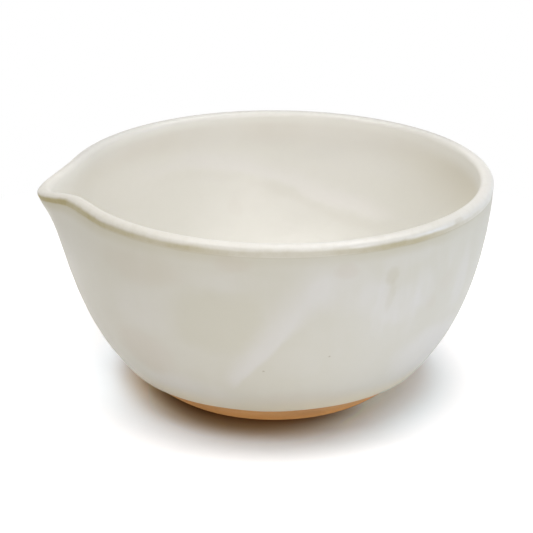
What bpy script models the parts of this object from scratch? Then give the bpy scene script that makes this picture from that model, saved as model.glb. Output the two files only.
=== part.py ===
"""Spouted matcha bowl in glazed stoneware.

A thrown clay body with a spout pinched out of its rim, a liner glaze that covers the inside and runs over
the lip, and an outer glaze that stops above the bare foot. Sizes are in metres and +Z is up. The origin is
the middle of the foot, on the table, and the spout points along -X.
"""

import math

import bmesh
import bpy
import numpy as np

# Clay body
RIM_RADIUS = 0.0652                  # outermost radius of the clay lip
RIM_HEIGHT = 0.0652                  # top of the clay lip above the table
LIP_THICKNESS = 0.0026               # clay across the rounded lip
RIM_LEAN = math.radians(3.5)         # how far the wall leans out from upright at the lip
RIM_FULLNESS = 0.026                 # how strongly the outside keeps that lean on its way down
FOOT_RADIUS = 0.0365                 # flat face that stands on the table
FOOT_RISE = math.radians(34.0)       # slope of the wall as it leaves the table
FOOT_FULLNESS = 0.024                # how strongly the outside keeps that slope on its way up
FLOOR_THICKNESS = 0.006              # clay under the middle of the well
WELL_STEEPNESS = 0.036               # how strongly the inside keeps the lip's lean on its way down
WELL_FLATNESS = 0.048                # how strongly the floor stays level on its way out

# Spout, pinched out of the rim while the clay is wet
SPOUT_REACH = 0.0053                 # how far the spout's lip stands outside the round rim
SPOUT_DROOP = 0.0027                 # how far the spout's lip dips below the rim
SPOUT_HALF_WIDTH = 0.0114            # along the rim, from the spout's middle to where its pull is spent
SPOUT_DEPTH = 0.0093                 # below the rim, where the pull has halved
SHOULDER_DRAW = 0.0025               # how far the rim is drawn in beside the spout
SHOULDER_HALF_WIDTH = 0.075          # along the rim, from the spout's middle to where the rim is round again

# Glaze coats
GLAZE_THICKNESS = 0.0005
GLAZE_GAP = 0.0003                   # clearance from coat to clay, and from coat to coat
GLAZE_SEAM_DROP = 0.001              # from the rounded lip down to where the two coats meet
GLAZE_LINE_HEIGHT = 0.0085           # lower edge of the outer coat on the clay, above the table

# Facets
MERIDIANS = 72                       # sections round the bowl
SPOUT_CROWDING = 0.4                 # share of the spacing taken out beside the spout, given back opposite it
RIM_CROWDING = 1.5                   # power that draws the wall's rings up towards the rim
INSIDE_RINGS = 13
LIP_RINGS = 7
COLLAR_RINGS = 2                     # outside, lip to seam
OUTSIDE_RINGS = 11                   # outside, seam to glaze line
FOOT_RINGS = 3                       # outside, glaze line to table
MERGE_DISTANCE = 0.00005
SHARP_ANGLE = math.radians(50.0)

# Colours, linear
CLAY_TAN = (0.44, 0.24, 0.10, 1.0)
LINER_CREAM = (0.80, 0.77, 0.68, 1.0)
OUTER_CREAM = (0.68, 0.65, 0.56, 1.0)


def lip_frame():
    """Centre of the lip's half round, and the direction from it square out through the wall."""
    centre = np.array([RIM_RADIUS - LIP_THICKNESS / 2, RIM_HEIGHT - LIP_THICKNESS / 2])
    outward = np.array([math.cos(RIM_LEAN), -math.sin(RIM_LEAN)])
    return centre, outward


def down_the_wall():
    """Direction in which the wall leaves the lip, on the inside and the outside alike."""
    return np.array([-math.sin(RIM_LEAN), -math.cos(RIM_LEAN)])


def outside_knots():
    """Knots and handles of the outer wall, lip to foot."""
    centre, outward = lip_frame()
    lip_edge = centre + outward * LIP_THICKNESS / 2
    foot_edge = np.array([FOOT_RADIUS, 0.0])
    foot_slope = np.array([math.cos(FOOT_RISE), math.sin(FOOT_RISE)])
    return lip_edge, lip_edge + down_the_wall() * RIM_FULLNESS, foot_edge + foot_slope * FOOT_FULLNESS, foot_edge


def inside_knots():
    """Knots and handles of the inner wall, middle of the floor to lip."""
    centre, outward = lip_frame()
    lip_edge = centre - outward * LIP_THICKNESS / 2
    middle = np.array([0.0, FLOOR_THICKNESS])
    level = np.array([1.0, 0.0])
    return middle, middle + level * WELL_FLATNESS, lip_edge + down_the_wall() * WELL_STEEPNESS, lip_edge


def bezier_run(knots, parameters):
    """Points of a Bezier curve at the given parameters, and unit normals to the left of its run."""
    t = parameters[:, None]
    s = 1 - t
    a, b, c, d = knots
    points = s**3 * a + 3 * s * s * t * b + 3 * s * t * t * c + t**3 * d
    along = s * s * (b - a) + 2 * s * t * (c - b) + t * t * (d - c)
    along /= np.linalg.norm(along, axis=1)[:, None]
    return points, np.stack([-along[:, 1], along[:, 0]], axis=1)


def from_rim(count):
    """Shares of a run of wall, 0 at the rim to 1 at its far end, closest together at the rim."""
    return np.linspace(0.0, 1.0, count) ** RIM_CROWDING


def inside_run():
    """The inner wall, from the middle of the floor to the lip."""
    return bezier_run(inside_knots(), 1 - from_rim(INSIDE_RINGS)[::-1])


def collar_run(seam):
    """The outer wall from the lip to a height at the seam."""
    return bezier_run(outside_knots(), np.linspace(0.0, outside_parameter(seam), COLLAR_RINGS))


def outside_run(seam):
    """The outer wall from a height at the seam to the glaze line."""
    top, bottom = outside_parameter(seam), outside_parameter(GLAZE_LINE_HEIGHT)
    return bezier_run(outside_knots(), top + (bottom - top) * from_rim(OUTSIDE_RINGS))


def foot_run():
    """The outer wall from the glaze line to the table."""
    return bezier_run(outside_knots(), np.linspace(outside_parameter(GLAZE_LINE_HEIGHT), 1.0, FOOT_RINGS))


def outside_parameter(height):
    """Parameter of the outer wall's curve at a height above the table."""
    samples = np.linspace(0.0, 1.0, 4000)
    points, _ = bezier_run(outside_knots(), samples)
    return np.interp(-height, -points[:, 1], samples)


def lip_run():
    """The lip's half round, from the inner wall over the top to the outer wall, with its normals."""
    centre, _ = lip_frame()
    turn = np.linspace(math.pi - RIM_LEAN, -RIM_LEAN, LIP_RINGS)
    normals = np.stack([np.cos(turn), np.sin(turn)], axis=1)
    return centre + normals * LIP_THICKNESS / 2, normals


def joined(*runs):
    """Runs laid end to end, with the point that two of them share kept once."""
    points = np.concatenate([runs[0][0]] + [run[0][1:] for run in runs[1:]])
    normals = np.concatenate([runs[0][1]] + [run[1][1:] for run in runs[1:]])
    return points, normals


def coat(run):
    """Section of a glaze coat over a run of the clay: out along its face and back along its underside."""
    points, normals = run
    face = points + normals * (GLAZE_GAP + GLAZE_THICKNESS)
    underside = points + normals * GLAZE_GAP
    return np.concatenate([face, underside[::-1]])


def body_section():
    """The clay from the middle of the floor, over the lip, down the outside and back under the foot."""
    seam = seam_height()
    points, _ = joined(inside_run(), lip_run(), collar_run(seam), outside_run(seam), foot_run())
    return np.concatenate([points, [[0.0, 0.0]]])


def liner_section():
    """The coat from the middle of the floor, up the inside and over the lip to the seam."""
    return coat(joined(inside_run(), lip_run(), collar_run(seam_height() + GLAZE_GAP / 2)))


def outer_section():
    """The coat from the seam down the outside to the glaze line."""
    return coat(outside_run(seam_height() - GLAZE_GAP / 2))


def seam_height():
    """Height on the clay where the liner and the outer glaze meet."""
    return RIM_HEIGHT - LIP_THICKNESS / 2 - GLAZE_SEAM_DROP


def pinch_spout(mesh):
    """Pinch the spout out of a turned mesh.

    Each point is moved along its radius and down. The pull is a bell round the rim less a wider, flatter
    bell that draws the shoulders in. It fades with depth below the rim and is gone at the table.
    """
    glazed_height = RIM_HEIGHT + GLAZE_GAP + GLAZE_THICKNESS
    places = np.empty(len(mesh.vertices) * 3)
    mesh.vertices.foreach_get("co", places)
    x, y, z = places.reshape(-1, 3).T
    radius = np.hypot(x, y)
    even_turn = np.arctan2(y, -x)
    turn = even_turn - SPOUT_CROWDING * np.sin(even_turn)

    along_rim = turn * RIM_RADIUS
    bell = np.exp(-(along_rim / SPOUT_HALF_WIDTH) ** 2)
    shoulders = np.exp(-np.abs(along_rim / SHOULDER_HALF_WIDTH) ** 3)
    depth = glazed_height - z
    fade = (1 - (depth / glazed_height) ** 2) / (1 + (depth / SPOUT_DEPTH) ** 2)
    pull = (SPOUT_REACH + SHOULDER_DRAW) * bell - SHOULDER_DRAW * shoulders
    radius = radius * (1 + pull / RIM_RADIUS * fade)

    moved = np.stack([-radius * np.cos(turn), radius * np.sin(turn), z - SPOUT_DROOP * bell * fade], axis=1)
    mesh.vertices.foreach_set("co", moved.ravel())
    mesh.update()


def split_quads(mesh):
    """Split each quad along its shorter diagonal, so that the facets of clay and glaze lie alike."""
    shape = bmesh.new()
    shape.from_mesh(mesh)
    bmesh.ops.triangulate(shape, faces=shape.faces[:], quad_method="SHORT_EDGE")
    shape.to_mesh(mesh)
    shape.free()


def turned_mesh(name, section, closed, blanks):
    """Spin a section of (radius, height) points round Z and return the mesh that results."""
    profile = bpy.data.meshes.new(name + "_section")
    count = len(section)
    edges = [(i, i + 1) for i in range(count - 1)]
    if closed:
        edges.append((count - 1, 0))
    profile.from_pydata([(r, 0.0, z) for r, z in section], edges, [])
    blank = bpy.data.objects.new(name + "_blank", profile)
    blanks.objects.link(blank)
    screw = blank.modifiers.new("Turn", "SCREW")
    screw.axis = "Z"
    screw.angle = 2 * math.pi
    screw.steps = screw.render_steps = MERIDIANS
    screw.use_merge_vertices = True
    screw.merge_threshold = MERGE_DISTANCE
    evaluated = blank.evaluated_get(bpy.context.evaluated_depsgraph_get())
    mesh = bpy.data.meshes.new_from_object(evaluated)
    mesh.name = name
    bpy.data.objects.remove(blank)
    bpy.data.meshes.remove(profile)
    return mesh


def fired_material(name, colour, roughness):
    """A plain fired surface: one colour and one roughness."""
    material = bpy.data.materials.new(name)
    material.use_nodes = True
    shader = material.node_tree.nodes["Principled BSDF"]
    shader.inputs["Base Color"].default_value = colour
    shader.inputs["Roughness"].default_value = roughness
    shader.inputs["Metallic"].default_value = 0.0
    material.diffuse_color = colour
    return material


def add_piece(name, section, closed, material, bowl, parts, blanks):
    """Turn one piece, pinch its spout and stand it in the bowl."""
    mesh = turned_mesh(name, section, closed, blanks)
    pinch_spout(mesh)
    split_quads(mesh)
    mesh.materials.append(material)
    mesh.shade_smooth()
    mesh.set_sharp_from_angle(angle=SHARP_ANGLE)
    piece = bpy.data.objects.new(name, mesh)
    piece.parent = bowl
    parts.objects.link(piece)


def new_collection(name):
    """A collection of that name in the scene."""
    collection = bpy.data.collections.new(name)
    bpy.context.scene.collection.children.link(collection)
    return collection


def main():
    for old in list(bpy.data.objects):
        bpy.data.objects.remove(old)
    parts = new_collection("spouted_matcha_bowl")
    blanks = new_collection("turning_blanks")
    bowl = bpy.data.objects.new("foot_centre", None)
    parts.objects.link(bowl)

    clay = fired_material("bare_stoneware", CLAY_TAN, 0.75)
    liner = fired_material("liner_glaze", LINER_CREAM, 0.28)
    outer = fired_material("outer_glaze", OUTER_CREAM, 0.34)
    add_piece("stoneware_body", body_section(), False, clay, bowl, parts, blanks)
    add_piece("liner_glaze", liner_section(), False, liner, bowl, parts, blanks)
    add_piece("outer_glaze", outer_section(), True, outer, bowl, parts, blanks)


main()
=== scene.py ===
import math

import bpy
import numpy as np
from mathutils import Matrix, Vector


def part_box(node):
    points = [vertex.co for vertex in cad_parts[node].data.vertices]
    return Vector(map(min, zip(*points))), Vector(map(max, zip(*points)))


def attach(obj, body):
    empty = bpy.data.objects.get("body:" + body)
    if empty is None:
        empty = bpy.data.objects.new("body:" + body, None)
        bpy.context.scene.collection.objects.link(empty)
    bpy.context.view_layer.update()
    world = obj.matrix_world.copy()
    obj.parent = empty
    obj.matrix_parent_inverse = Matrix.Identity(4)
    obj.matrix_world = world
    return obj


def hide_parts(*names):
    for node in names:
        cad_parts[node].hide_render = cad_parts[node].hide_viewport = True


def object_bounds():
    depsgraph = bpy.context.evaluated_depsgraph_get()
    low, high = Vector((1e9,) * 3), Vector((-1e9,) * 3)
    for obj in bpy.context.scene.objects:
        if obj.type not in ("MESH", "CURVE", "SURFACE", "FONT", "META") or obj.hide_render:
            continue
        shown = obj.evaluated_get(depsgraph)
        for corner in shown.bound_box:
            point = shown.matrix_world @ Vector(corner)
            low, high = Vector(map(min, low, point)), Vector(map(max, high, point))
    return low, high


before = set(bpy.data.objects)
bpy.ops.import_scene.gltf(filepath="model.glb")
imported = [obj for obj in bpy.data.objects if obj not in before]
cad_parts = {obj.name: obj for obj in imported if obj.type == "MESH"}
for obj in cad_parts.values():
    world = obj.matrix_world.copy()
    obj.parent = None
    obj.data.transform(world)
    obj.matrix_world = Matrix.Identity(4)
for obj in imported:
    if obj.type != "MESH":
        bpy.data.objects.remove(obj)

bl_info = {
    "name": "Spouted matcha bowl",
    "version": (1, 0, 0),
    "blender": (4, 5, 0),
    "location": "View3D > Sidebar > Matcha bowl",
    "description": "Makes the clay and the glaze coats of a spouted matcha bowl, and a stage to show it on",
    "category": "Add Mesh",
}

CAD_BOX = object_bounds()
_, CLAY_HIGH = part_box("stoneware_body")
_, LINER_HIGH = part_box("liner_glaze")
BODY = "root"

# Pixels along a side of the photograph, and millimetres along the sensor that its lens is given for
PHOTO_SIZE = 533
SENSOR_WIDTH = 36.0

WHITE = (1.0, 1.0, 1.0)
WARM_WHITE = (1.0, 0.99, 0.975)


class BowlShape(bpy.types.PropertyGroup):
    """Sizes of the thrown and pinched clay, in metres and radians."""

    rim_radius: bpy.props.FloatProperty(
        name="Rim radius", description="Outermost radius of the clay lip",
        default=CLAY_HIGH.x, unit="LENGTH")
    rim_height: bpy.props.FloatProperty(
        name="Rim height", description="Top of the clay lip above the table",
        default=CLAY_HIGH.z, unit="LENGTH")
    lip_thickness: bpy.props.FloatProperty(
        name="Lip thickness", description="Clay across the rounded lip",
        default=0.0026, unit="LENGTH")
    lip_squareness: bpy.props.FloatProperty(
        name="Lip squareness", default=2.6,
        description="Power of the lip's section: 2 is a half round, more is flatter on top")
    rim_lean: bpy.props.FloatProperty(
        name="Rim lean", description="How far the wall leans out from upright at the lip",
        default=math.radians(3.5), unit="ROTATION")
    rim_fullness: bpy.props.FloatProperty(
        name="Rim fullness", description="How strongly the outside keeps that lean on its way down",
        default=0.026, unit="LENGTH")
    foot_radius: bpy.props.FloatProperty(
        name="Foot radius", description="Flat face that stands on the table",
        default=0.0365, unit="LENGTH")
    foot_rise: bpy.props.FloatProperty(
        name="Foot rise", description="Slope of the wall as it leaves the table",
        default=math.radians(34.0), unit="ROTATION")
    foot_fullness: bpy.props.FloatProperty(
        name="Foot fullness", description="How strongly the outside keeps that slope on its way up",
        default=0.024, unit="LENGTH")
    foot_edge: bpy.props.FloatProperty(
        name="Foot edge", description="Radius of the worn edge round the foot",
        default=0.0004, unit="LENGTH")
    floor_thickness: bpy.props.FloatProperty(
        name="Floor thickness", description="Clay under the middle of the well",
        default=0.006, unit="LENGTH")
    well_steepness: bpy.props.FloatProperty(
        name="Well steepness", description="How strongly the inside keeps the lip's lean on its way down",
        default=0.036, unit="LENGTH")
    well_flatness: bpy.props.FloatProperty(
        name="Well flatness", description="How strongly the floor stays level on its way out",
        default=0.048, unit="LENGTH")
    spout_reach: bpy.props.FloatProperty(
        name="Spout reach", description="How far the spout's lip stands outside the round rim",
        default=0.0052, unit="LENGTH")
    spout_droop: bpy.props.FloatProperty(
        name="Spout droop", description="How far the spout's lip dips below the rim",
        default=0.0027, unit="LENGTH")
    spout_half_width: bpy.props.FloatProperty(
        name="Spout half width", default=0.0114, unit="LENGTH",
        description="Along the rim, from the spout's middle to where its pull is spent")
    spout_depth: bpy.props.FloatProperty(
        name="Spout depth", description="Below the rim, where the spout's pull has halved",
        default=0.0093, unit="LENGTH")
    shoulder_draw: bpy.props.FloatProperty(
        name="Shoulder draw", description="How far the rim is drawn in beside the spout",
        default=0.0025, unit="LENGTH")
    shoulder_half_width: bpy.props.FloatProperty(
        name="Shoulder half width", default=0.075, unit="LENGTH",
        description="Along the rim, from the spout's middle to where the rim is round")
    ripple: bpy.props.FloatProperty(
        name="Throwing ripple", description="Height of the finger ridges that run up the wall",
        default=0.000025, unit="LENGTH", precision=5)
    ripple_pitch: bpy.props.FloatProperty(
        name="Ripple pitch", description="Distance from one finger ridge to the next",
        default=0.0075, unit="LENGTH")


class GlazeLook(bpy.types.PropertyGroup):
    """Sizes and colours of the two glaze coats."""

    coat: bpy.props.FloatProperty(
        name="Coat", description="From the clay to the face of the glaze",
        default=LINER_HIGH.z - CLAY_HIGH.z, unit="LENGTH")
    seat: bpy.props.FloatProperty(
        name="Seat", description="From the clay to the underside of the glaze",
        default=0.0001, unit="LENGTH", precision=5)
    seam_drop: bpy.props.FloatProperty(
        name="Seam drop", description="From the rounded lip down to where the coats meet",
        default=0.001, unit="LENGTH")
    seam_groove: bpy.props.FloatProperty(
        name="Seam groove", description="How much thinner the coats are where they meet",
        default=0.0001, unit="LENGTH", precision=5)
    line_height: bpy.props.FloatProperty(
        name="Glaze line height", description="Lower edge of the outer coat on the clay, above the table",
        default=0.0085, unit="LENGTH")
    line_waver: bpy.props.FloatProperty(
        name="Glaze line waver", description="How far the glaze line strays from level",
        default=0.0002, unit="LENGTH", precision=5)
    roll: bpy.props.FloatProperty(
        name="Edge roll", description="Width of the rounded lower edge of the outer coat",
        default=0.0006, unit="LENGTH")
    swell: bpy.props.FloatProperty(
        name="Edge swell", description="How much thicker the outer coat is where it stopped running",
        default=0.0001, unit="LENGTH", precision=5)
    liner_colour: bpy.props.FloatVectorProperty(
        name="Liner colour", description="Cream of the inside wall",
        default=(0.926, 0.908, 0.852), subtype="COLOR")
    # Darker towards the floor of the inside
    lower_liner_colour: bpy.props.FloatVectorProperty(
        name="Pooled colour", description="Cream of the inside where the glaze pooled on the floor",
        default=(0.792, 0.778, 0.722), subtype="COLOR")
    well_colour: bpy.props.FloatVectorProperty(
        name="Well colour", description="Cream of the middle of the floor, where the glaze pooled deepest",
        default=(0.64, 0.635, 0.585), subtype="COLOR")
    veil_colour: bpy.props.FloatVectorProperty(
        name="Veil colour", description="Where the inside's glaze was poured twice",
        default=(0.92, 0.896, 0.87), subtype="COLOR")
    # On the far side of the rim the lip takes this colour twice as strongly, as painted shade
    lip_colour: bpy.props.FloatVectorProperty(
        name="Lip colour", description="Cream of the thinner glaze over the lip",
        default=(0.5, 0.485, 0.455), subtype="COLOR")
    outer_colour: bpy.props.FloatVectorProperty(
        name="Outer colour", description="Cream of the outside",
        default=(0.592, 0.573, 0.497), subtype="COLOR")
    # Also painted cool light on the lower right of the outside
    milky_and_cool_light_colour: bpy.props.FloatVectorProperty(
        name="Milky colour", description="Where the outside's glaze ran thick",
        default=(0.648, 0.632, 0.605), subtype="COLOR")
    # Inside across from the spout it is partly creamier glaze and partly painted shade; low outside it is
    # painted warm bounce light from the floor and the clay
    creamy_shade_and_bounce_colour: bpy.props.FloatVectorProperty(
        name="Warm colour", description="Creamier glaze inside across from the spout, and low outside",
        default=(0.71, 0.645, 0.49), subtype="COLOR")
    # Outside, under the spout's lip and low in front, it is also painted shade
    blush_and_shade_colour: bpy.props.FloatVectorProperty(
        name="Blush colour", description="Where the clay warms the glaze from below",
        default=(0.485, 0.334, 0.239), subtype="COLOR")
    # Also painted shade, darker high on the walls inside and out
    thin_glaze_and_shade_colour: bpy.props.FloatVectorProperty(
        name="Thin colour", description="Where the clay shows through thin glaze",
        default=(0.365, 0.305, 0.135), subtype="COLOR")
    speck_colour: bpy.props.FloatVectorProperty(
        name="Speck colour", description="Iron that bled through the glaze",
        default=(0.30, 0.25, 0.16), subtype="COLOR")


class ClayLook(bpy.types.PropertyGroup):
    """Colours of the bare foot."""

    tan: bpy.props.FloatVectorProperty(
        name="Tan", description="Bare fired clay",
        default=(0.84, 0.472, 0.176), subtype="COLOR")
    pale: bpy.props.FloatVectorProperty(
        name="Pale", description="Dry ridges of the turning lines",
        default=(0.765, 0.495, 0.255), subtype="COLOR")
    toasted: bpy.props.FloatVectorProperty(
        name="Toasted", description="Flashed patches of the clay",
        default=(0.54, 0.278, 0.12), subtype="COLOR")
    iron: bpy.props.FloatVectorProperty(
        name="Iron", description="Specks in the clay",
        default=(0.20, 0.10, 0.045), subtype="COLOR")


class StageLook(bpy.types.PropertyGroup):
    """Camera, lights and floor."""

    azimuth: bpy.props.FloatProperty(
        name="Azimuth", description="Turn of the camera from straight in front, towards the spout",
        default=math.radians(-8.52), unit="ROTATION")
    elevation: bpy.props.FloatProperty(
        name="Elevation", description="Camera's height above the horizon, as an angle",
        default=math.radians(21.84), unit="ROTATION")
    distance: bpy.props.FloatProperty(
        name="Distance", description="From the camera to the middle of the bowl",
        default=0.4895, unit="LENGTH")
    lens: bpy.props.FloatProperty(
        name="Lens", description="Focal length in millimetres on a 36 mm sensor",
        default=106.74, unit="CAMERA")
    aim_right: bpy.props.FloatProperty(
        name="Aim right", description="Pixels from the image's middle to the bowl's, to the right",
        default=7.2, subtype="PIXEL")
    aim_down: bpy.props.FloatProperty(
        name="Aim down", description="Pixels from the image's middle to the bowl's, down",
        default=4.2, subtype="PIXEL")
    camera_roll: bpy.props.FloatProperty(
        name="Camera roll", description="Turn of the camera about its own line of sight",
        default=math.radians(0.22), unit="ROTATION")
    ambient: bpy.props.FloatProperty(
        name="Ambient", description="Strength of the room's own light", default=0.02)
    floor_colour: bpy.props.FloatVectorProperty(
        name="Floor colour", description="Pale floor",
        default=(0.92, 0.915, 0.91), subtype="COLOR")
    # Floor as the camera sees it round the foot: the foot line and the front are painted shadow, and
    # colours above 1 are painted light that lifts the shadow
    painted_foot_shadow: bpy.props.FloatVectorProperty(
        name="Foot line", description="Floor as it is seen right against the foot",
        default=(0.164, 0.104, 0.05), subtype="COLOR")
    painted_front_shadow: bpy.props.FloatVectorProperty(
        name="Contact front", description="Floor as it is seen at the foot, in front",
        default=(0.29, 0.223, 0.12), subtype="COLOR")
    contact_left: bpy.props.FloatVectorProperty(
        name="Contact left", description="Floor as it is seen at the foot, under the spout",
        default=(1.16, 1.29, 1.26), subtype="COLOR")
    contact_right: bpy.props.FloatVectorProperty(
        name="Contact right", description="Floor as it is seen at the foot, across from it",
        default=(1.07, 1.47, 1.8), subtype="COLOR")
    near_front: bpy.props.FloatVectorProperty(
        name="Near front", description="Floor as it is seen beside the bowl, in front",
        default=(0.92, 0.916, 0.933), subtype="COLOR")
    near_left: bpy.props.FloatVectorProperty(
        name="Near left", description="Floor as it is seen beside the bowl, by the spout",
        default=(1.44, 1.58, 1.72), subtype="COLOR")
    near_right: bpy.props.FloatVectorProperty(
        name="Near right", description="Floor as it is seen beside the bowl, across from it",
        default=(1.06, 1.18, 1.275), subtype="COLOR")
    edge_white: bpy.props.FloatVectorProperty(
        name="Edge white", description="Floor as it is seen at the shadow's edge",
        default=(1.5, 1.477, 1.5), subtype="COLOR")


class MatchaBowl(bpy.types.PropertyGroup):
    """Everything that can be set on the bowl and its stage."""

    shape: bpy.props.PointerProperty(type=BowlShape)
    glaze: bpy.props.PointerProperty(type=GlazeLook)
    clay: bpy.props.PointerProperty(type=ClayLook)
    stage: bpy.props.PointerProperty(type=StageLook)


# Sections: curves of (radius, height), as arrays whose last axis has length 2

MERIDIANS = 432
SPOUT_CROWDING = 0.5
INSIDE_RINGS = 110
LIP_RINGS = 28
COLLAR_RINGS = 7
OUTSIDE_RINGS = 110
ROLL_RINGS = 9
FOOT_RINGS = 26
BASE_RINGS = 14
HIDDEN_RINGS = 26
EDGE_RINGS = 6
RIM_CROWDING = 1.4
CURVE_SAMPLES = 4000

# Metres
LIP_CLEARANCE = 0.00002
BAND_OVERLAP = 0.001
GROOVE_WIDTH = 0.0015
SWELL_WIDTH = 0.0018
ROLL_SINK = 0.00002

# Where the throwing ripple grows to its full height: metres above the table, and metres below the rim
RIPPLE_ABOVE_TABLE = (0.008, 0.016)
RIPPLE_BELOW_RIM = (0.002, 0.012)

# Its strength round the bowl: the middle, the swing, and the swing's turn in radians for a metre of height
RIPPLE_MIDDLE = 0.6
RIPPLE_SWING = 0.4
RIPPLE_TWIST = 90.0

# Waves of the glaze line: how many go round, how strong they are, and their phase in radians
LINE_WAVES = ((3, 1.0, 0.7), (7, 0.6, 2.1), (13, 0.4, 4.0))


def turns():
    """Angles of the meridians from the spout: even steps less a sine, so they crowd round the spout."""
    even = np.linspace(-math.pi, math.pi, MERIDIANS, endpoint=False)
    return even - SPOUT_CROWDING * np.sin(even)


def from_rim(count):
    """Shares of a run of wall from 0 at the rim to 1: even steps to a power, so they crowd at the rim."""
    return np.linspace(0.0, 1.0, count) ** RIM_CROWDING


def bezier(knots, t):
    """Bernstein sum of four knots at every t, with the unit normal to the left of the run and its speed."""
    t = np.asarray(t)[..., None]
    s = 1 - t
    a, b, c, d = knots
    point = s**3 * a + 3 * s * s * t * b + 3 * s * t * t * c + t**3 * d
    along = s * s * (b - a) + 2 * s * t * (c - b) + t * t * (d - c)
    length = np.linalg.norm(along, axis=-1, keepdims=True)
    normal = np.stack([-along[..., 1], along[..., 0]], axis=-1) / length
    return point, normal, 3 * length[..., 0]


def lip_frame(shape):
    """Centre of the lip's section, the way out through the wall, and the way down it."""
    half = shape.lip_thickness / 2
    centre = np.array([shape.rim_radius, shape.rim_height]) - half - LIP_CLEARANCE
    outward = np.array([math.cos(shape.rim_lean), -math.sin(shape.rim_lean)])
    down = np.array([-math.sin(shape.rim_lean), -math.cos(shape.rim_lean)])
    return centre, outward, down


def outside_knots(shape):
    """Bezier knots of the outer wall, lip to foot."""
    centre, outward, down = lip_frame(shape)
    lip_edge = centre + outward * shape.lip_thickness / 2
    foot_edge = np.array([shape.foot_radius, 0.0])
    rise = np.array([math.cos(shape.foot_rise), math.sin(shape.foot_rise)])
    return lip_edge, lip_edge + down * shape.rim_fullness, foot_edge + rise * shape.foot_fullness, foot_edge


def inside_knots(shape):
    """Bezier knots of the inner wall, middle of the floor to lip."""
    centre, outward, down = lip_frame(shape)
    lip_edge = centre - outward * shape.lip_thickness / 2
    middle = np.array([0.0, shape.floor_thickness])
    level = np.array([shape.well_flatness, 0.0])
    return middle, middle + level, lip_edge + down * shape.well_steepness, lip_edge


def outside_parameter(shape, height):
    """Parameter of the outer wall's curve at each height above the table, read back from fine samples."""
    samples = np.linspace(0.0, 1.0, CURVE_SAMPLES)
    points = bezier(outside_knots(shape), samples)[0]
    return np.interp(-np.asarray(height), -points[:, 1], samples)


def lip_arc(shape, count):
    """The lip from the inner wall over the top to the outer wall, and its normals.

    It is half of a superellipse: cosine and sine to the power of 2 over the squareness.
    """
    centre, outward, down = lip_frame(shape)
    angle = np.linspace(math.pi, 0.0, count)[:, None]
    across, up = np.cos(angle), np.abs(np.sin(angle))
    power = 2 / shape.lip_squareness
    half = shape.lip_thickness / 2
    point = centre + half * (np.sign(across) * np.abs(across)**power * outward - up**power * down)
    normal = np.sign(across) * np.abs(across)**(2 - power) * outward - up**(2 - power) * down
    return point, normal / np.linalg.norm(normal, axis=-1, keepdims=True)


def seam_height(shape, glaze):
    """Height on the clay where the liner and the outer glaze meet."""
    return shape.rim_height - shape.lip_thickness / 2 - glaze.seam_drop


def joined(*runs):
    """Runs of (points, normals) end to end, with the point that two of them share kept once."""
    return tuple(
        np.concatenate([runs[0][k]] + [run[k][1:] for run in runs[1:]]) for k in (0, 1)
    )


def path_length(points):
    """Distance along each run of points, down the first axis, from its first one."""
    steps = np.linalg.norm(np.diff(points, axis=0), axis=-1)
    return np.concatenate([np.zeros_like(steps[:1]), np.cumsum(steps, axis=0)])


def smooth_step(x, low, high):
    """0 below low, 1 above high, and a cubic ease between."""
    t = np.clip((x - low) / (high - low), 0.0, 1.0)
    return t * t * (3 - 2 * t)


def thrown(shape, section, turn):
    """Carries a section round the axis and gives it the hand of the maker.

    The radius gets a shallow spiral ripple that dies out at lip and foot, and comes and goes round the
    bowl. The pinch then adds a bell round the rim less a wider, flatter bell for the drawn-in shoulders.
    It fades with depth below the rim, and the bell also lowers the lip.
    """
    radius, height = section[..., 0], section[..., 1]
    share = radius / shape.rim_radius
    below_rim = shape.rim_height - height
    grown = smooth_step(height, *RIPPLE_ABOVE_TABLE) * smooth_step(below_rim, *RIPPLE_BELOW_RIM)
    spiral = np.sin(2 * math.pi * height / shape.ripple_pitch + turn)
    drift = RIPPLE_MIDDLE + RIPPLE_SWING * np.sin(2 * turn + RIPPLE_TWIST * height)
    radius = radius + shape.ripple * grown * spiral * drift * share

    top = CAD_BOX[1].z
    along_rim = turn * shape.rim_radius
    bell = np.exp(-((along_rim / shape.spout_half_width) ** 2))
    shoulders = np.exp(-np.abs(along_rim / shape.shoulder_half_width) ** 3)
    depth = top - height
    fade = (1 - (depth / top) ** 2) / (1 + (depth / shape.spout_depth) ** 2)
    pull = (shape.spout_reach + shape.shoulder_draw) * bell - shape.shoulder_draw * shoulders
    radius = radius * (1 + pull / shape.rim_radius * fade)
    height = height - shape.spout_droop * bell * fade
    return np.stack([-radius * np.cos(turn), radius * np.sin(turn), height], axis=-1)


def ring_faces(rings, around, closed):
    """Quads between neighbouring rings of a grid that wraps round, and also end to start where closed."""
    last = rings if closed else rings - 1
    i, j = np.meshgrid(np.arange(last), np.arange(around), indexing="ij")
    below, beside = (i + 1) % rings, (j + 1) % around
    corners = [i * around + j, i * around + beside, below * around + beside, below * around + j]
    return np.stack([c.ravel() for c in corners], axis=-1)


def pole_faces(pole, ring, first):
    """Triangles from a point on the axis to a ring, with the point before the ring or after it."""
    j = np.arange(MERIDIANS)
    a, b = ring * MERIDIANS + j, ring * MERIDIANS + (j + 1) % MERIDIANS
    point = np.full(MERIDIANS, pole)
    return np.stack([point, b, a] if first else [point, a, b], axis=-1)


def new_object(name, data):
    """An object in the scene for a mesh, a lamp or a camera."""
    made = bpy.data.objects.new(name, data)
    bpy.context.scene.collection.objects.link(made)
    return made


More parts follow.
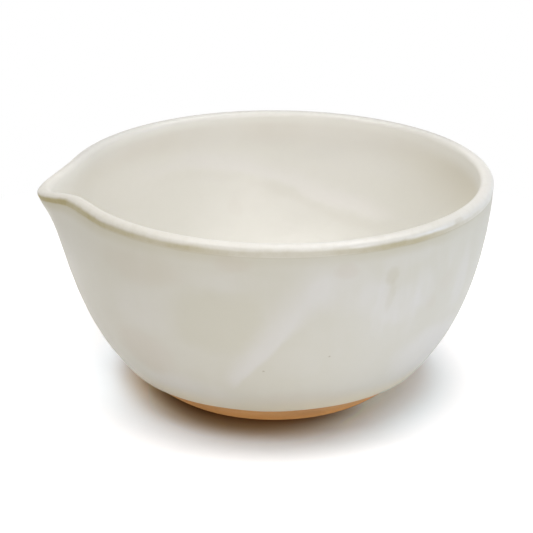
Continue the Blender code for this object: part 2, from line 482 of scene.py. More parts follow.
def surface_object(name, grid, poles=None, marks=None):
    """A mesh object from a grid of points, closed by two points on the axis or by its own last ring.

    marks are per-point numbers on the same grid, stored as attributes for the material to read.
    """
    rings = len(grid)
    points = grid.reshape(-1, 3)
    faces = ring_faces(rings, MERIDIANS, poles is None).tolist()
    if poles is not None:
        points = np.concatenate([points, poles])
        count = rings * MERIDIANS
        faces += pole_faces(count, 0, True).tolist() + pole_faces(count + 1, rings - 1, False).tolist()
    mesh = bpy.data.meshes.new(name)
    mesh.from_pydata(points.tolist(), [], faces)
    for mark, values in (marks or {}).items():
        flat = np.zeros(len(points))
        flat[:values.size] = values.ravel()
        mesh.attributes.new(mark, "FLOAT", "POINT").data.foreach_set("value", flat)
    mesh.shade_smooth()
    mesh.update()
    return new_object(name, mesh)


def carried_round(section):
    """A section repeated for every meridian, so that it can vary with the turn."""
    return np.repeat(section[:, None], MERIDIANS, axis=1)


def clay_surface(shape, glaze):
    """The clay: inner wall, lip, outer wall, bare band with a worn edge, and the flat foot."""
    line = float(outside_parameter(shape, glaze.line_height + BAND_OVERLAP))
    edge_turn = np.linspace(0.0, 1.0, EDGE_RINGS + 1)[1:, None]
    inside = bezier(inside_knots(shape), 1 - from_rim(HIDDEN_RINGS)[::-1])[:2]
    hidden = bezier(outside_knots(shape), np.linspace(0.0, line, HIDDEN_RINGS))[:2]
    band_end = float(outside_parameter(shape, shape.foot_edge))
    band = bezier(outside_knots(shape), np.linspace(line, band_end, FOOT_RINGS))[:2]
    points = joined(inside, lip_arc(shape, LIP_RINGS // 3), hidden, band)[0]
    start, corner = points[-1], np.array([shape.foot_radius, 0.0])
    end = corner - np.array([shape.foot_edge, 0.0])
    worn = (1 - edge_turn) ** 2 * start + 2 * edge_turn * (1 - edge_turn) * corner + edge_turn**2 * end
    base_radius = np.linspace(1.0, 0.0, BASE_RINGS)[1:-1] * end[0]
    base = np.stack([base_radius, np.zeros_like(base_radius)], axis=-1)
    section = np.concatenate([points[1:], worn, base])
    poles = [[0.0, 0.0, shape.floor_thickness], [0.0, 0.0, 0.0]]
    return thrown(shape, carried_round(section), turns()), poles


def groove(distance, glaze):
    """How much thinner a coat is at a distance from the seam: a bell."""
    return glaze.seam_groove * np.exp(-((distance / GROOVE_WIDTH) ** 2))


def liner_surface(shape, glaze):
    """The liner: the clay's inside and lip moved out by the coat, then back along its underside."""
    seam = float(outside_parameter(shape, seam_height(shape, glaze)))
    inside = bezier(inside_knots(shape), 1 - from_rim(INSIDE_RINGS)[::-1])[:2]
    collar = bezier(outside_knots(shape), np.linspace(0.0, seam, COLLAR_RINGS))[:2]
    points, normals = joined(inside, lip_arc(shape, LIP_RINGS), collar)
    run = path_length(points)
    to_seam = run[-1] - run
    face = points + normals * (glaze.coat - groove(to_seam, glaze))[:, None]
    keep = np.unique(np.linspace(0, len(points) - 1, HIDDEN_RINGS * 2).astype(int))[::-1]
    underside = points[keep] + normals[keep] * glaze.seat
    section = np.concatenate([face[1:], underside[:-1]])
    from_seam = -np.concatenate([to_seam[1:], to_seam[keep][:-1]])
    poles = [[0.0, 0.0, face[0, 1]], [0.0, 0.0, underside[-1, 1]]]
    marks = {"from_seam": carried_round(from_seam)}
    return thrown(shape, carried_round(section), turns()), poles, marks


def outer_surface(shape, glaze):
    """The outer coat: the clay's outside moved out by the coat from the seam to a wavering glaze line.

    Just above the line the coat swells, and it rolls down to the clay on a quarter ellipse.
    """
    turn = turns()
    waver = sum(strength * np.sin(count * turn + phase) for count, strength, phase in LINE_WAVES)
    line = outside_parameter(shape, glaze.line_height + glaze.line_waver * waver)
    seam = outside_parameter(shape, seam_height(shape, glaze))
    knots = outside_knots(shape)

    roll_share = glaze.roll / bezier(knots, line)[2]
    t = seam + (line - roll_share - seam) * from_rim(OUTSIDE_RINGS)[:, None]
    points, normals, _ = bezier(knots, t)
    run = path_length(points)
    to_line = run[-1] - run
    swell = glaze.swell * np.exp(-((to_line / SWELL_WIDTH) ** 2))
    depth = glaze.coat - groove(run, glaze) + swell
    face = points + normals * depth[..., None]

    angle = np.linspace(0.0, math.pi / 2, ROLL_RINGS)[1:, None]
    roll_points, roll_normals, _ = bezier(knots, line - roll_share * (1 - np.sin(angle)))
    roll_depth = depth[-1] * np.cos(angle) - ROLL_SINK
    rolled = roll_points + roll_normals * roll_depth[..., None]

    keep = np.linspace(OUTSIDE_RINGS - 1, 0, HIDDEN_RINGS).astype(int)
    underside = points[keep] + normals[keep] * glaze.seat
    section = np.concatenate([face, rolled, underside])
    from_seam = np.concatenate([run, np.repeat(run[-1:], ROLL_RINGS - 1, axis=0), run[keep]])
    to_edge = np.concatenate([to_line, np.zeros((ROLL_RINGS - 1, MERIDIANS)), to_line[keep]])
    marks = {"from_seam": from_seam, "to_line": to_edge}
    return thrown(shape, section, turn), None, marks


# Materials

TO_MILLIMETRES = 1000.0

# Millimetres of wall to a degree of turn
WALL_TURN = 1.1

# Soft ovals in the glaze: turn in degrees, height, half width, half height in millimetres, strength
LINER_BLUSH = (
    (85.0, 35.1, 4.0, 4.0, 0.035),
    (92.0, 38.0, 13.0, 6.0, 0.03),
)
OUTER_MILK_AND_COOL_LIGHT = (
    (-48.0, 43.0, 15.0, 11.0, 0.2),
    (-70.0, 55.5, 17.0, 4.0, 0.17),
    (-99.0, 52.5, 12.0, 10.0, 0.28),
    (-105.7, 48.0, 6.0, 8.0, 0.25),
    (-115.0, 43.5, 8.0, 8.0, 0.3),
    (-117.0, 58.5, 11.0, 4.5, 0.22),
    (-122.5, 47.5, 6.0, 7.0, 0.3),
    (-139.0, 45.0, 5.0, 13.0, 0.3),
    (-88.0, 29.0, 9.0, 8.0, 0.15),
    (-53.0, 13.0, 24.0, 9.0, 0.35),
    # Painted cool light on the lower right
    (-133.0, 23.0, 22.0, 11.0, 0.5),
)
# Partly glaze warmed by the clay, partly painted shade under the lip by the spout and low in front
OUTER_BLUSH_AND_SHADE = (
    (-46.0, 55.5, 17.0, 6.5, 0.08),
    (-42.0, 26.0, 14.0, 9.5, 0.12),
    (-72.0, 61.0, 7.0, 2.8, 0.1),
    (-98.5, 58.6, 5.0, 2.8, 0.1),
    (-126.0, 42.5, 4.0, 3.5, 0.05),
    (-131.0, 47.0, 3.5, 4.0, 0.05),
    (-92.0, 14.0, 24.0, 4.5, 0.08),
)
OUTER_PINS = (
    (-78.8, 26.2, 0.5, 0.35, 0.5),
    (-96.5, 30.7, 0.45, 0.35, 0.5),
)

# Single ovals in the same order, without a strength
LIP_MARK = (-132.9, 64.8, 2.6, 0.8)
LEAF = (-66.0, 42.0, 17.0, 13.5)
STREAKS = (-120.0, 47.0, 30.0, 17.0)
RUN = (-110.5, 54.6, 2.5, 3.7)
RUN_TAIL = (-110.9, 48.0, 1.3, 6.5)

# Stretches of the rim: the turn of the middle and the reach to either side, in degrees
SPOUT_STAIN = (0.0, 95.0)
RIGHT_STAIN = (-118.0, 26.0)
FRONT_STAIN = (-82.0, 42.0)
SPOUT_RAISED = (0.0, 80.0)
FRONT_RAISED = (-85.0, 45.0)
LEFT_LIP = (-30.0, 75.0)
RIGHT_LIP = (-118.0, 30.0)
FRONT_SHINE = (-88.0, 45.0)

# Specks: cells to the metre, radius in metres, share of the cells that hold one
LINER_SPECKS = (52.0, 0.00028, 0.16)
OUTER_SPECKS = (48.0, 0.00026, 0.2)
PINHOLES = (150.0, 0.00022, 0.22)
CLAY_IRON = (260.0, 0.00022, 0.35)

# A speck's least size as a share of that radius, and the share of its own size where its rim starts to fade
SPECK_LEAST = 0.4
SPECK_RIM = 0.55

# The veil inside: between which turns it sinks, and from what height to what height
VEIL_TURN = (72.0, 130.0)
VEIL_HEIGHT = (48.8, 35.0)

# The band in front: a turn under it, how far it leans from upright, and how many millimetres its right edge
# passes from the table at that turn
BAND_TURN = -84.0
BAND_LEAN = math.radians(39.7)
BAND_OFFSET = 23.5


class Wire:
    """An output socket that can stand in Python expressions.

    Sums with numbers and other wires add Math nodes. Every other node comes from the node method.
    """

    def __init__(self, tree, socket=None):
        self.tree = tree
        self.socket = socket

    @staticmethod
    def find(sockets, key):
        """A socket by its place, its identifier or its name."""
        if isinstance(key, int):
            return sockets[key]
        for socket in sockets:
            if key == socket.identifier:
                return socket
        return sockets[key]

    def node(self, kind, settings=None, sockets=None, out=0):
        """Adds a node of that kind, applies its settings, fills its sockets and wraps one output."""
        node = self.tree.nodes.new(kind)
        for name, value in (settings or {}).items():
            setattr(node, name, value)
        for key, value in (sockets or {}).items():
            socket = self.find(node.inputs, key)
            if isinstance(value, Wire):
                self.tree.links.new(value.socket, socket)
            else:
                socket.default_value = value
        return Wire(self.tree, self.find(node.outputs, out))

    def out(self, key):
        """Another output of the node that this wire comes from."""
        return Wire(self.tree, self.find(self.socket.node.outputs, key))

    def math(self, operation, first, second=0.0):
        """Two numbers through a Math node."""
        return self.node("ShaderNodeMath", {"operation": operation}, {0: first, 1: second})

    def __add__(self, other):
        return self.math("ADD", self, other)

    def __radd__(self, other):
        return self.math("ADD", other, self)

    def __sub__(self, other):
        return self.math("SUBTRACT", self, other)

    def __rsub__(self, other):
        return self.math("SUBTRACT", other, self)

    def __mul__(self, other):
        return self.math("MULTIPLY", self, other)

    def __rmul__(self, other):
        return self.math("MULTIPLY", other, self)

    def __truediv__(self, other):
        return self.math("DIVIDE", self, other)

    def __rtruediv__(self, other):
        return self.math("DIVIDE", other, self)

    def vector_math(self, operation, other=(0.0, 0.0, 0.0), out="Vector"):
        """This vector and another through a Vector Math node."""
        return self.node("ShaderNodeVectorMath", {"operation": operation}, {0: self, 1: other}, out=out)

    def eased(self, low, high, start=0.0, end=1.0):
        """This value carried from low..high to start..end with soft ends."""
        return self.node("ShaderNodeMapRange", {"interpolation_type": "SMOOTHSTEP"}, {
            "Value": self, "From Min": low, "From Max": high, "To Min": start, "To Max": end})

    def faded(self, low, high):
        """1 up to low, 0 from high on, and soft between."""
        return self.eased(low, high, 1.0, 0.0)

    def noise(self, scale, detail=2.0, roughness=0.5, distortion=0.0):
        """Noise over this vector, 0 to 1, with about scale features to the metre."""
        return self.node("ShaderNodeTexNoise", None, {
            "Vector": self, "Scale": scale, "Detail": detail, "Roughness": roughness,
            "Distortion": distortion}, out="Fac")

    def near(self, centre, reach):
        """1 where this value is at centre, 0 beyond its reach on either side."""
        return self.math("ABSOLUTE", self - centre).faded(0.0, reach)

    def stretched(self, x, y, z):
        """This vector times a factor for each axis."""
        return self.vector_math("MULTIPLY", (x, y, z))

    def tinted(self, colour, amount):
        """This colour mixed by an amount towards another, which is a wire or a colour property."""
        other = colour if isinstance(colour, Wire) else opaque(colour)
        return self.node("ShaderNodeMix", {"data_type": "RGBA"}, {
            "Factor_Float": amount, "A_Color": self, "B_Color": other}, out="Result_Color")

    def specks(self, scale, radius, share):
        """Round specks: one in each of some cells of this vector, of a radius in metres, with soft rims."""
        cells = self.node("ShaderNodeTexVoronoi", None, {"Vector": self, "Scale": scale}, out="Distance")
        chance = self.node("ShaderNodeSeparateColor", None, {0: cells.out("Color")}, out="Red")
        kept = chance.math("LESS_THAN", chance, share)
        size = chance * (radius * scale / share)
        return (cells / (size + SPECK_LEAST * radius * scale)).faded(SPECK_RIM, 1.0) * kept


def opaque(colour):
    """A colour property as a shader colour."""
    return (*colour, 1.0)


def new_material(name):
    """A material with a Principled shader, and a wire to start expressions from."""
    material = bpy.data.materials.new(name)
    material.use_nodes = True
    shader = material.node_tree.nodes["Principled BSDF"]
    return material, shader, Wire(material.node_tree)


def connect(node, wire, name):
    """Feeds a wire to one of a node's sockets, by its name."""
    wire.tree.links.new(wire.socket, node.inputs[name])


def layered(start, ground, tints):
    """A ground colour under rows of a tint and its amount."""
    colour = start.node("ShaderNodeRGB")
    colour.socket.default_value = opaque(ground)
    for tint, amount in tints:
        colour = colour.tinted(tint, amount)
    return colour


def bumped(start, height):
    """A normal that follows a height in millimetres."""
    return start.node("ShaderNodeBump", None, {
        "Strength": 1.0, "Distance": 1 / TO_MILLIMETRES, "Height": height}, out="Normal")


def on_the_bowl(start):
    """Object coordinates, the turn from the spout in degrees and the height in millimetres."""
    place = start.node("ShaderNodeTexCoord", out="Object")
    x = start.node("ShaderNodeSeparateXYZ", None, {0: place}, out="X")
    turn = start.math("ARCTAN2", x.out("Y"), -1.0 * x) * math.degrees(1.0)
    return place, turn, x.out("Z") * TO_MILLIMETRES


def attribute(start, name):
    """A number that the mesh carries at each point, from metres to millimetres."""
    return start.node("ShaderNodeAttribute", {"attribute_name": name}, out="Fac") * TO_MILLIMETRES


def seam_stain(place, turn, from_seam):
    """How thin the glaze is round the seam: a soft line that starts on the lip's outer edge.

    It is strongest on the drawn-out spout and on one stretch of the rim, and noise breaks it up elsewhere.
    On the spout and in front it lies a little higher.
    """
    patchy = place.noise(42.0, 3.0, 0.6).eased(0.32, 0.72, 0.1, 0.36)
    spout = turn.near(*SPOUT_STAIN) * 0.68
    stretch = turn.near(*RIGHT_STAIN) * 0.42
    front = turn.near(*FRONT_STAIN) * 0.12
    raised = (turn.near(*SPOUT_RAISED) + turn.near(*FRONT_RAISED)) * 0.45
    below = from_seam + (place.noise(130.0, 2.0) - 0.5) * 0.7 + raised
    core = below.eased(-0.1, 0.9, 1.0, 0.34)
    line = below.eased(-1.55, -0.8) * core * below.faded(0.5, 4.2)
    return line * (patchy + spout + stretch + front)


def spot(turn, height, at_turn, at_height, wide, tall):
    """A soft oval on the wall, wide and tall in millimetres each way from its middle."""
    across = (turn - at_turn) * (WALL_TURN / wide)
    up = (height - at_height) / tall
    return (across * across + up * up).faded(0.1, 1.0)


def spots(turn, height, rows):
    """A sum of soft ovals, from rows that end in a strength."""
    return sum(spot(turn, height, *oval) * strength for *oval, strength in rows)


def wandered(place, turn, height, reach):
    """Turn and height carried off by noise, so that poured shapes get live edges.

    The reach is in degrees for the turn and in millimetres for the height.
    """
    sideways = place.noise(75.0, 3.0, 0.55) - 0.5
    upwards = place.noise(58.0, 3.0, 0.55) - 0.5
    return turn + sideways * (2 * reach), height + upwards * (2 * reach)


def orange_peel(place):
    """The fine unevenness of a melted glaze, in millimetres, with a few pinholes."""
    peel = place.noise(330.0, 2.0, 0.45) * 0.03 + place.noise(900.0, 1.0) * 0.006
    return peel - place.specks(*PINHOLES) * 0.05


def liner_material(glaze):
    """The inside: cream glaze with soft clouds, a poured veil over a thin line, and a thinner lip."""
    material, shader, start = new_material("liner_glaze")
    place, turn, height = on_the_bowl(start)
    from_seam = attribute(start, "from_seam")
    free_turn, free_height = wandered(place, turn, height, 3.0)
    clouds = place.noise(24.0, 3.0, 0.55).eased(0.35, 0.7)
    wisps = place.stretched(1.0, 1.0, 2.6).noise(48.0, 4.0, 0.6, 0.6).eased(0.42, 0.72)

    above_veil = free_height - turn.eased(*VEIL_TURN, *VEIL_HEIGHT)
    stretch = turn.eased(45.0, 75.0) * turn.faded(128.0, 152.0)
    veil = above_veil.eased(-1.5, 1.0) * above_veil.faded(1.5, 7.5) * stretch
    line = above_veil.near(-2.4, 2.6) * stretch * turn.eased(60.0, 100.0, 0.5, 1.0)
    side = start.math("ABSOLUTE", turn)
    blush = from_seam.eased(-17.0, -10.5) * from_seam.faded(-8.0, -5.5)
    blush = blush * clouds.eased(0.0, 1.0, 1.0, 0.4)
    blush = blush * side.eased(10.0, 60.0, 0.2, 1.0) * side.eased(115.0, 160.0, 1.0, 0.15)
    blush = blush * 0.12 + spots(free_turn, free_height, LINER_BLUSH)

    lip = from_seam.eased(-5.2, -3.0)
    # Painted shade: the far side of the lip takes the lip colour twice as strongly
    far_lip_shade = turn.eased(-15.0, 35.0) * side.faded(150.0, 176.0)
    stain = seam_stain(place, turn, from_seam)
    mark = spot(turn, height, *LIP_MARK)
    # Across from the spout: partly creamier glaze, partly painted warm shade
    right = side.eased(128.0, 178.0) * height.eased(36.0, 58.0) * from_seam.faded(-11.0, -6.0)
    drawn = turn.near(*LEFT_LIP) * 0.15 + turn.near(*RIGHT_LIP) * 0.08
    grain = place.noise(430.0, 3.0, 0.7).eased(0.42, 0.7) * 0.07
    specks = place.specks(*LINER_SPECKS) * from_seam.faded(-9.0, -6.0)

    colour = layered(start, glaze.liner_colour, (
        (glaze.lower_liner_colour, free_height.faded(20.0, 60.0)),
        (glaze.well_colour, free_height.eased(8.0, 29.0, 0.8, 0.0)),
        (glaze.veil_colour, clouds * 0.25 + wisps * 0.2 + veil * 0.55),
        (glaze.blush_and_shade_colour, blush + line * 0.02),
        # The height term is painted shade, darker high on the inside wall
        (glaze.thin_glaze_and_shade_colour, line * 0.02 + height.eased(46.0, 58.0) * 0.03),
        (glaze.creamy_shade_and_bounce_colour, right * 0.42),
        (glaze.lip_colour, lip * (far_lip_shade * 0.46 + 0.46)),
        (glaze.thin_glaze_and_shade_colour, stain + mark * 0.16 + lip * (drawn + grain)),
        (glaze.speck_colour, specks * 0.45),
    ))
    connect(shader, colour, "Base Color")
    connect(shader, place.noise(60.0, 3.0).eased(0.3, 0.7, 0.29, 0.38) + stain * 0.1, "Roughness")
    shader.inputs["Coat Roughness"].default_value = 0.1
    connect(shader, lip * (turn.near(*FRONT_SHINE) * 0.4 + 0.05), "Coat Weight")
    connect(shader, bumped(start, orange_peel(place) + veil * 0.02), "Normal")
    return material


def outer_material(glaze):
    """The outside: cream glaze in uneven pours, thin along the seam, with painted warm light over the glaze
    line.

    One pour leans down the front from the rim. It is a milky band with a right edge that grows crisp on its
    way down and a left edge that feathers out, and it shuts in a leaf of plainer glaze on its left.
    """
    material, shader, start = new_material("outer_glaze")
    place, turn, height = on_the_bowl(start)
    from_seam = attribute(start, "from_seam")
    to_line = attribute(start, "to_line")
    free_turn, free_height = wandered(place, turn, height, 3.0)
    clouds = place.noise(23.0, 3.0, 0.55).eased(0.38, 0.68)
    mottle = place.noise(85.0, 4.0, 0.6, 0.4).eased(0.4, 0.75)
    runs = place.stretched(1.0, 1.0, 0.16).noise(95.0, 3.0, 0.55).eased(0.45, 0.75)

    sideways = (turn - BAND_TURN) * WALL_TURN
    ragged = (place.noise(110.0, 3.0, 0.6) - 0.5) * 2.6
    across = sideways * math.cos(BAND_LEAN) + height * math.sin(BAND_LEAN) - BAND_OFFSET + ragged
    along = sideways * math.sin(BAND_LEAN) - height * math.cos(BAND_LEAN)
    crisp = (across / along.eased(-46.0, -26.0, 4.5, 0.9)).eased(-1.0, 1.0)
    feathered = across.faded(1.5, along.eased(-48.0, -8.0, 13.5, 8.0))
    ends = along.eased(-57.0, -46.0) * along.faded(-8.0, -1.5)
    band = crisp * feathered * ends * turn.near(BAND_TURN, 60.0)
    leaf = spot(free_turn, free_height, *LEAF)

    streaked = spot(turn, height, *STREAKS)
    streaked = streaked * place.stretched(1.0, 1.0, 0.22).noise(120.0, 3.0, 0.6).eased(0.45, 0.66)
    stain = seam_stain(place, turn, from_seam)
    run = spot(free_turn, free_height, *RUN) + spot(free_turn, height, *RUN_TAIL) * 0.5
    # Painted warm bounce light from the floor and the clay, lighter and warmer over the glaze line
    warm_bounce_light = to_line.faded(0.0, 9.0) * place.noise(45.0, 2.0).eased(0.35, 0.65, 0.5, 1.0)
    specks = place.specks(*OUTER_SPECKS)
    pins = spots(turn, height, OUTER_PINS)

    back = turn.eased(0.0, 40.0) * (clouds * 0.3 + runs * 0.2)
    milk_and_cool_light = clouds * 0.16 + mottle * 0.1 + runs * 0.1 + 0.12 - leaf * 0.3 + back
    milk_and_cool_light = milk_and_cool_light + band * 0.75 + streaked * 0.28 + spots(free_turn, free_height, OUTER_MILK_AND_COOL_LIGHT)
    blush = spots(free_turn, free_height, OUTER_BLUSH_AND_SHADE)
    # The height term is painted shade, darker towards the rim
    thin = stain + run * 0.16 + leaf * 0.03 + height.eased(40.0, 62.0) * 0.045
    colour = layered(start, glaze.outer_colour, (
        (glaze.milky_and_cool_light_colour, milk_and_cool_light),
        (glaze.creamy_shade_and_bounce_colour, warm_bounce_light * 0.8),
        (glaze.blush_and_shade_colour, blush),
        (glaze.thin_glaze_and_shade_colour, thin),
        (glaze.speck_colour, specks * 0.4 + pins),
    ))
    connect(shader, colour, "Base Color")
    roughness = place.noise(60.0, 3.0).eased(0.3, 0.7, 0.42, 0.5)
    connect(shader, roughness + stain * 0.1 - band * 0.04, "Roughness")
    connect(shader, bumped(start, orange_peel(place) + band * 0.03 + runs * 0.02), "Normal")
    return material


def clay_material(clay):
    """Bare stoneware: tan, darker up to the glaze line, with toasted patches, grain, turning lines, iron
    specks.
    """
    material, shader, start = new_material("bare_stoneware")
    place, _, height = on_the_bowl(start)
    clouds = place.noise(45.0, 3.0, 0.55).eased(0.4, 0.7)
    grain = place.noise(1500.0, 3.0, 0.6)
    lines = place.stretched(0.04, 0.04, 1.0).noise(1100.0, 2.0, 0.6)
    iron = place.specks(*CLAY_IRON)
    toast = (clouds * 0.28 + grain.eased(0.45, 0.8) * 0.18) * height.eased(0.5, 3.5, 0.15, 1.0)
    # Darker towards the glaze line, lighter at the foot's edge
    toast = toast + height.eased(1.0, 7.0) * 0.65
    colour = layered(start, clay.tan, (
        (clay.toasted, toast),
        (clay.pale, lines.eased(0.5, 0.75) * 0.25),
        (clay.iron, iron * 0.6),
    ))
    connect(shader, colour, "Base Color")
    shader.inputs["Specular IOR Level"].default_value = 0.25
    connect(shader, grain.eased(0.3, 0.7, 0.72, 0.88), "Roughness")
    connect(shader, bumped(start, grain * 0.06 + lines * 0.05 - iron * 0.03), "Normal")
    return material


# Stage

# Middle of the shadow on the floor, towards the spout and the front
SHADOW_MIDDLE = (-0.002, -0.003, 0.0)

# The way from there to where the shadow is darkest
SHADOW_WAY = (-0.362, -0.932, 0.0)

# Metres from the shadow's middle over which one colour of the floor gives way to the next
CONTACT_TO_NEAR = (0.0375, 0.0486)
NEAR_TO_EDGE = (0.046, 0.0682)
EDGE_TO_WHITE = (0.085, 0.2)

# Metres from the bowl's axis over which the painted shadow line against the foot fades
LINE_TO_CONTACT = (0.0362, 0.0441)

# Round the shadow's middle: cosines from its darkest way, for the front and for the painted shadow line
# against the foot, and cosines from the way across from the spout, for the sides
FRONT_TURN = (0.338, 1.162)
LINE_TURN = (0.026, 1.0)
SIDE_TURN = (-0.564, 0.564)

FLOOR_RADIUS = 4.0
FLOOR_RINGS = 9
FLOOR_SPOKES = 64
LAMP_DISTANCE = 1.2

# Soft lamps: name, azimuth and elevation in degrees, size in metres, watts, colour
LAMPS = (
    ("overhead", 0.0, 85.0, 1.2, 7.75, WARM_WHITE),
    ("left_high", -90.0, 60.0, 0.6, 4.0, WARM_WHITE),
    ("right_high", 90.0, 60.0, 0.6, 3.15, WARM_WHITE),
    ("front_window", 8.0, 24.0, 0.5, 2.5, WHITE),
    ("front_right", 30.0, 7.0, 0.25, 1.85, (0.95, 0.97, 1.0)),
    ("front_left", -30.0, 4.0, 0.16, 1.5, (1.0, 0.97, 0.92)),
    ("left_low", -52.0, 3.5, 0.14, 0.5, (1.0, 0.9, 0.75)),
    ("right_low", 75.0, 3.5, 0.14, 2.55, (0.54, 0.72, 1.0)),
    ("behind", 180.0, 50.0, 0.7, 2.0, WHITE),
)


def facing(away):
    """Turn of a lamp or camera that stands in a direction from what it looks at, upright."""
    return Vector(away).to_track_quat("Z", "Y").to_euler()


def direction(azimuth, elevation):
    """Unit vector towards an azimuth, 0 in front and positive to the right, and an elevation."""
    level = math.cos(elevation)
    return Vector((math.sin(azimuth) * level, -math.cos(azimuth) * level, math.sin(elevation)))


def add_camera(stage, middle):
    """The camera at the photograph's angle, with a small shift for its framing."""
    data = bpy.data.cameras.new("camera")
    data.lens = stage.lens
    data.sensor_width = SENSOR_WIDTH
    data.shift_x = -stage.aim_right / PHOTO_SIZE
    data.shift_y = stage.aim_down / PHOTO_SIZE
    camera = new_object("camera", data)
    away = direction(stage.azimuth, stage.elevation)
    camera.location = middle + away * stage.distance
    camera.rotation_euler = facing(away)
    camera.rotation_euler.rotate_axis("Z", stage.camera_roll)
    bpy.context.scene.camera = camera


def add_lamp(name, azimuth, elevation, size, energy, colour):
    """A square soft lamp that looks at the bowl from a direction, angles in degrees."""
    data = bpy.data.lights.new(name, "AREA")
    data.shape = "SQUARE"
    data.size = size
    data.energy = energy
    data.color = colour
    lamp = new_object(name, data)
    away = direction(math.radians(azimuth), math.radians(elevation))
    lamp.location = away * LAMP_DISTANCE
    lamp.rotation_euler = facing(away)
    lamp.visible_camera = False


def seen_directly(start):
    """1 for rays that the camera, a reflection or clear glass sends, 0 for diffuse light."""
    paths = [start.node("ShaderNodeLightPath", out=name) for name in
             ("Is Camera Ray", "Is Glossy Ray", "Is Transmission Ray")]
    return start.math("MINIMUM", paths[0] + paths[1] + paths[2], 1.0)


def add_world(stage):
    """White where it is seen, and a softer light of its own on the bowl."""
    world = bpy.data.worlds.new("studio")
    world.use_nodes = True
    tree = world.node_tree
    background = tree.nodes["Background"]
    background.inputs["Color"].default_value = opaque(WHITE)
    strength = seen_directly(Wire(tree)).eased(0.0, 1.0, stage.ambient, 1.0)
    connect(background, strength, "Strength")
    bpy.context.scene.world = world


def floor_material(stage):
    """The floor's own pale colour for the light that it sends on, and another where it is seen.

    What is seen has a painted shadow, dark against the foot in front, and painted light that whitens it
    away from the foot, so that only a shadow shows.
    """
    material, shader, start = new_material("pale_floor")
    place = start.node("ShaderNodeTexCoord", out="Object")
    off_middle = place.vector_math("SUBTRACT", SHADOW_MIDDLE)
    reach = off_middle.vector_math("LENGTH", out="Value")
    towards = off_middle.vector_math("DOT_PRODUCT", SHADOW_WAY, out="Value") / reach
    across = start.node("ShaderNodeSeparateXYZ", None, {0: off_middle}, out="X") / reach
    front = towards.eased(*FRONT_TURN)
    right = across.eased(*SIDE_TURN)
    from_axis = place.vector_math("LENGTH", out="Value")
    # Painted shadow line against the foot, in front
    against = from_axis.faded(*LINE_TO_CONTACT) * towards.eased(*LINE_TURN)

    near = layered(start, stage.near_left, ((stage.near_right, right), (stage.near_front, front)))
    colour = layered(start, stage.contact_left, (
        (stage.contact_right, right),
        (stage.painted_front_shadow, front),
        (near, reach.eased(*CONTACT_TO_NEAR)),
        (stage.edge_white, reach.eased(*NEAR_TO_EDGE)),
        (stage.painted_foot_shadow, against),
    ))
    real = start.node("ShaderNodeBsdfDiffuse", None, {"Color": opaque(stage.floor_colour)})
    shaded = start.node("ShaderNodeBsdfDiffuse", None, {"Color": colour})
    white = start.node("ShaderNodeEmission", None, {"Color": opaque(WHITE), "Strength": 1.0})
    seen = start.node("ShaderNodeMixShader", None, {0: reach.eased(*EDGE_TO_WHITE), 1: shaded, 2: white})
    shown = start.node("ShaderNodeMixShader", None, {0: seen_directly(start), 1: real, 2: seen})
    start.tree.nodes.remove(shader)
    connect(start.tree.nodes["Material Output"], shown, "Surface")
    return material


def add_floor(stage):
    """A flat round floor, as rings of points."""
    radius = np.linspace(0.0, FLOOR_RADIUS, FLOOR_RINGS)[:, None]
    angle = np.linspace(2 * math.pi, 0.0, FLOOR_SPOKES, endpoint=False)
    points = np.stack([radius * np.cos(angle), radius * np.sin(angle), 0 * radius * angle], axis=-1)
    faces = ring_faces(FLOOR_RINGS, FLOOR_SPOKES, False)
    mesh = bpy.data.meshes.new("floor")
    mesh.from_pydata(points.reshape(-1, 3).tolist(), [], faces.tolist())
    mesh.materials.append(floor_material(stage))
    floor = new_object("floor", mesh)


def make_piece(name, surface, node, material):
    """A piece from its surface, with its material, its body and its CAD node."""
    piece = surface_object(name, *surface)
    piece.data.materials.append(material)
    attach(piece, BODY)
    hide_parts(node)


class BOWL_OT_clay(bpy.types.Operator):
    """Make the thrown clay body with its bare foot"""

    bl_idname = "bowl.clay"
    bl_label = "Clay body"

    def execute(self, context):
        bowl = context.scene.matcha_bowl
        surface = clay_surface(bowl.shape, bowl.glaze)
        make_piece("thrown_clay", surface, "stoneware_body", clay_material(bowl.clay))
        return {"FINISHED"}


class BOWL_OT_liner(bpy.types.Operator):
    """Make the glaze coat inside the bowl and over its lip"""

    bl_idname = "bowl.liner"
    bl_label = "Liner glaze"

    def execute(self, context):
        bowl = context.scene.matcha_bowl
        surface = liner_surface(bowl.shape, bowl.glaze)
        make_piece("liner_coat", surface, "liner_glaze", liner_material(bowl.glaze))
        return {"FINISHED"}


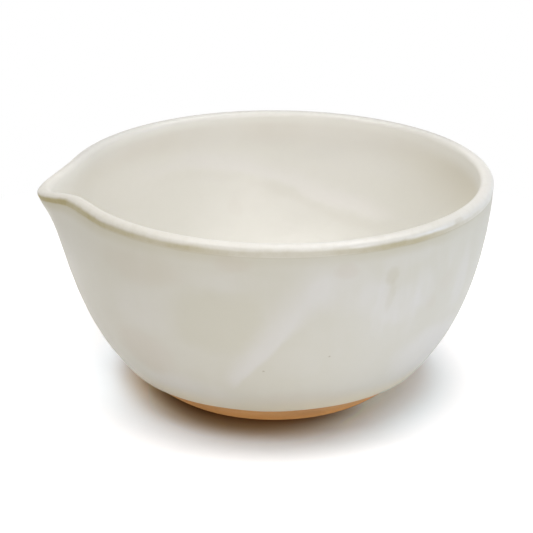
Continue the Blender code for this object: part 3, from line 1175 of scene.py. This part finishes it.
class BOWL_OT_outer(bpy.types.Operator):
    """Make the glaze coat on the outside, down to the glaze line"""

    bl_idname = "bowl.outer"
    bl_label = "Outer glaze"

    def execute(self, context):
        bowl = context.scene.matcha_bowl
        surface = outer_surface(bowl.shape, bowl.glaze)
        make_piece("outer_coat", surface, "outer_glaze", outer_material(bowl.glaze))
        return {"FINISHED"}


class BOWL_OT_stage(bpy.types.Operator):
    """Set the camera, the soft lamps and the pale floor"""

    bl_idname = "bowl.stage"
    bl_label = "Stage"

    def execute(self, context):
        stage = context.scene.matcha_bowl.stage
        context.scene.view_settings.view_transform = "Standard"
        add_camera(stage, Vector((0.0, 0.0, CAD_BOX[1].z / 2)))
        add_world(stage)
        add_floor(stage)
        for lamp in LAMPS:
            add_lamp(*lamp)
        return {"FINISHED"}


class BOWL_PT_panel(bpy.types.Panel):
    """Sizes, colours and the steps that make the bowl"""

    bl_label = "Matcha bowl"
    bl_space_type = "VIEW_3D"
    bl_region_type = "UI"
    bl_category = "Matcha bowl"

    def draw(self, context):
        bowl = context.scene.matcha_bowl
        for group in (bowl.shape, bowl.glaze, bowl.clay, bowl.stage):
            box = self.layout.box()
            for name in group.bl_rna.properties.keys():
                if name not in ("rna_type", "name"):
                    box.prop(group, name)
        for operator in (BOWL_OT_clay, BOWL_OT_liner, BOWL_OT_outer, BOWL_OT_stage):
            self.layout.operator(operator.bl_idname)


CLASSES = (
    BowlShape, GlazeLook, ClayLook, StageLook, MatchaBowl,
    BOWL_OT_clay, BOWL_OT_liner, BOWL_OT_outer, BOWL_OT_stage, BOWL_PT_panel,
)


def register():
    """Registers the classes and gives the scene its bowl settings."""
    for cls in CLASSES:
        bpy.utils.register_class(cls)
    bpy.types.Scene.matcha_bowl = bpy.props.PointerProperty(type=MatchaBowl)


def unregister():
    """Takes the settings and the classes away again."""
    del bpy.types.Scene.matcha_bowl
    for cls in reversed(CLASSES):
        bpy.utils.unregister_class(cls)


def main():
    """Makes the bowl and its stage."""
    register()
    bpy.ops.bowl.clay()
    bpy.ops.bowl.liner()
    bpy.ops.bowl.outer()
    bpy.ops.bowl.stage()


if __name__ == "__main__":
    main()
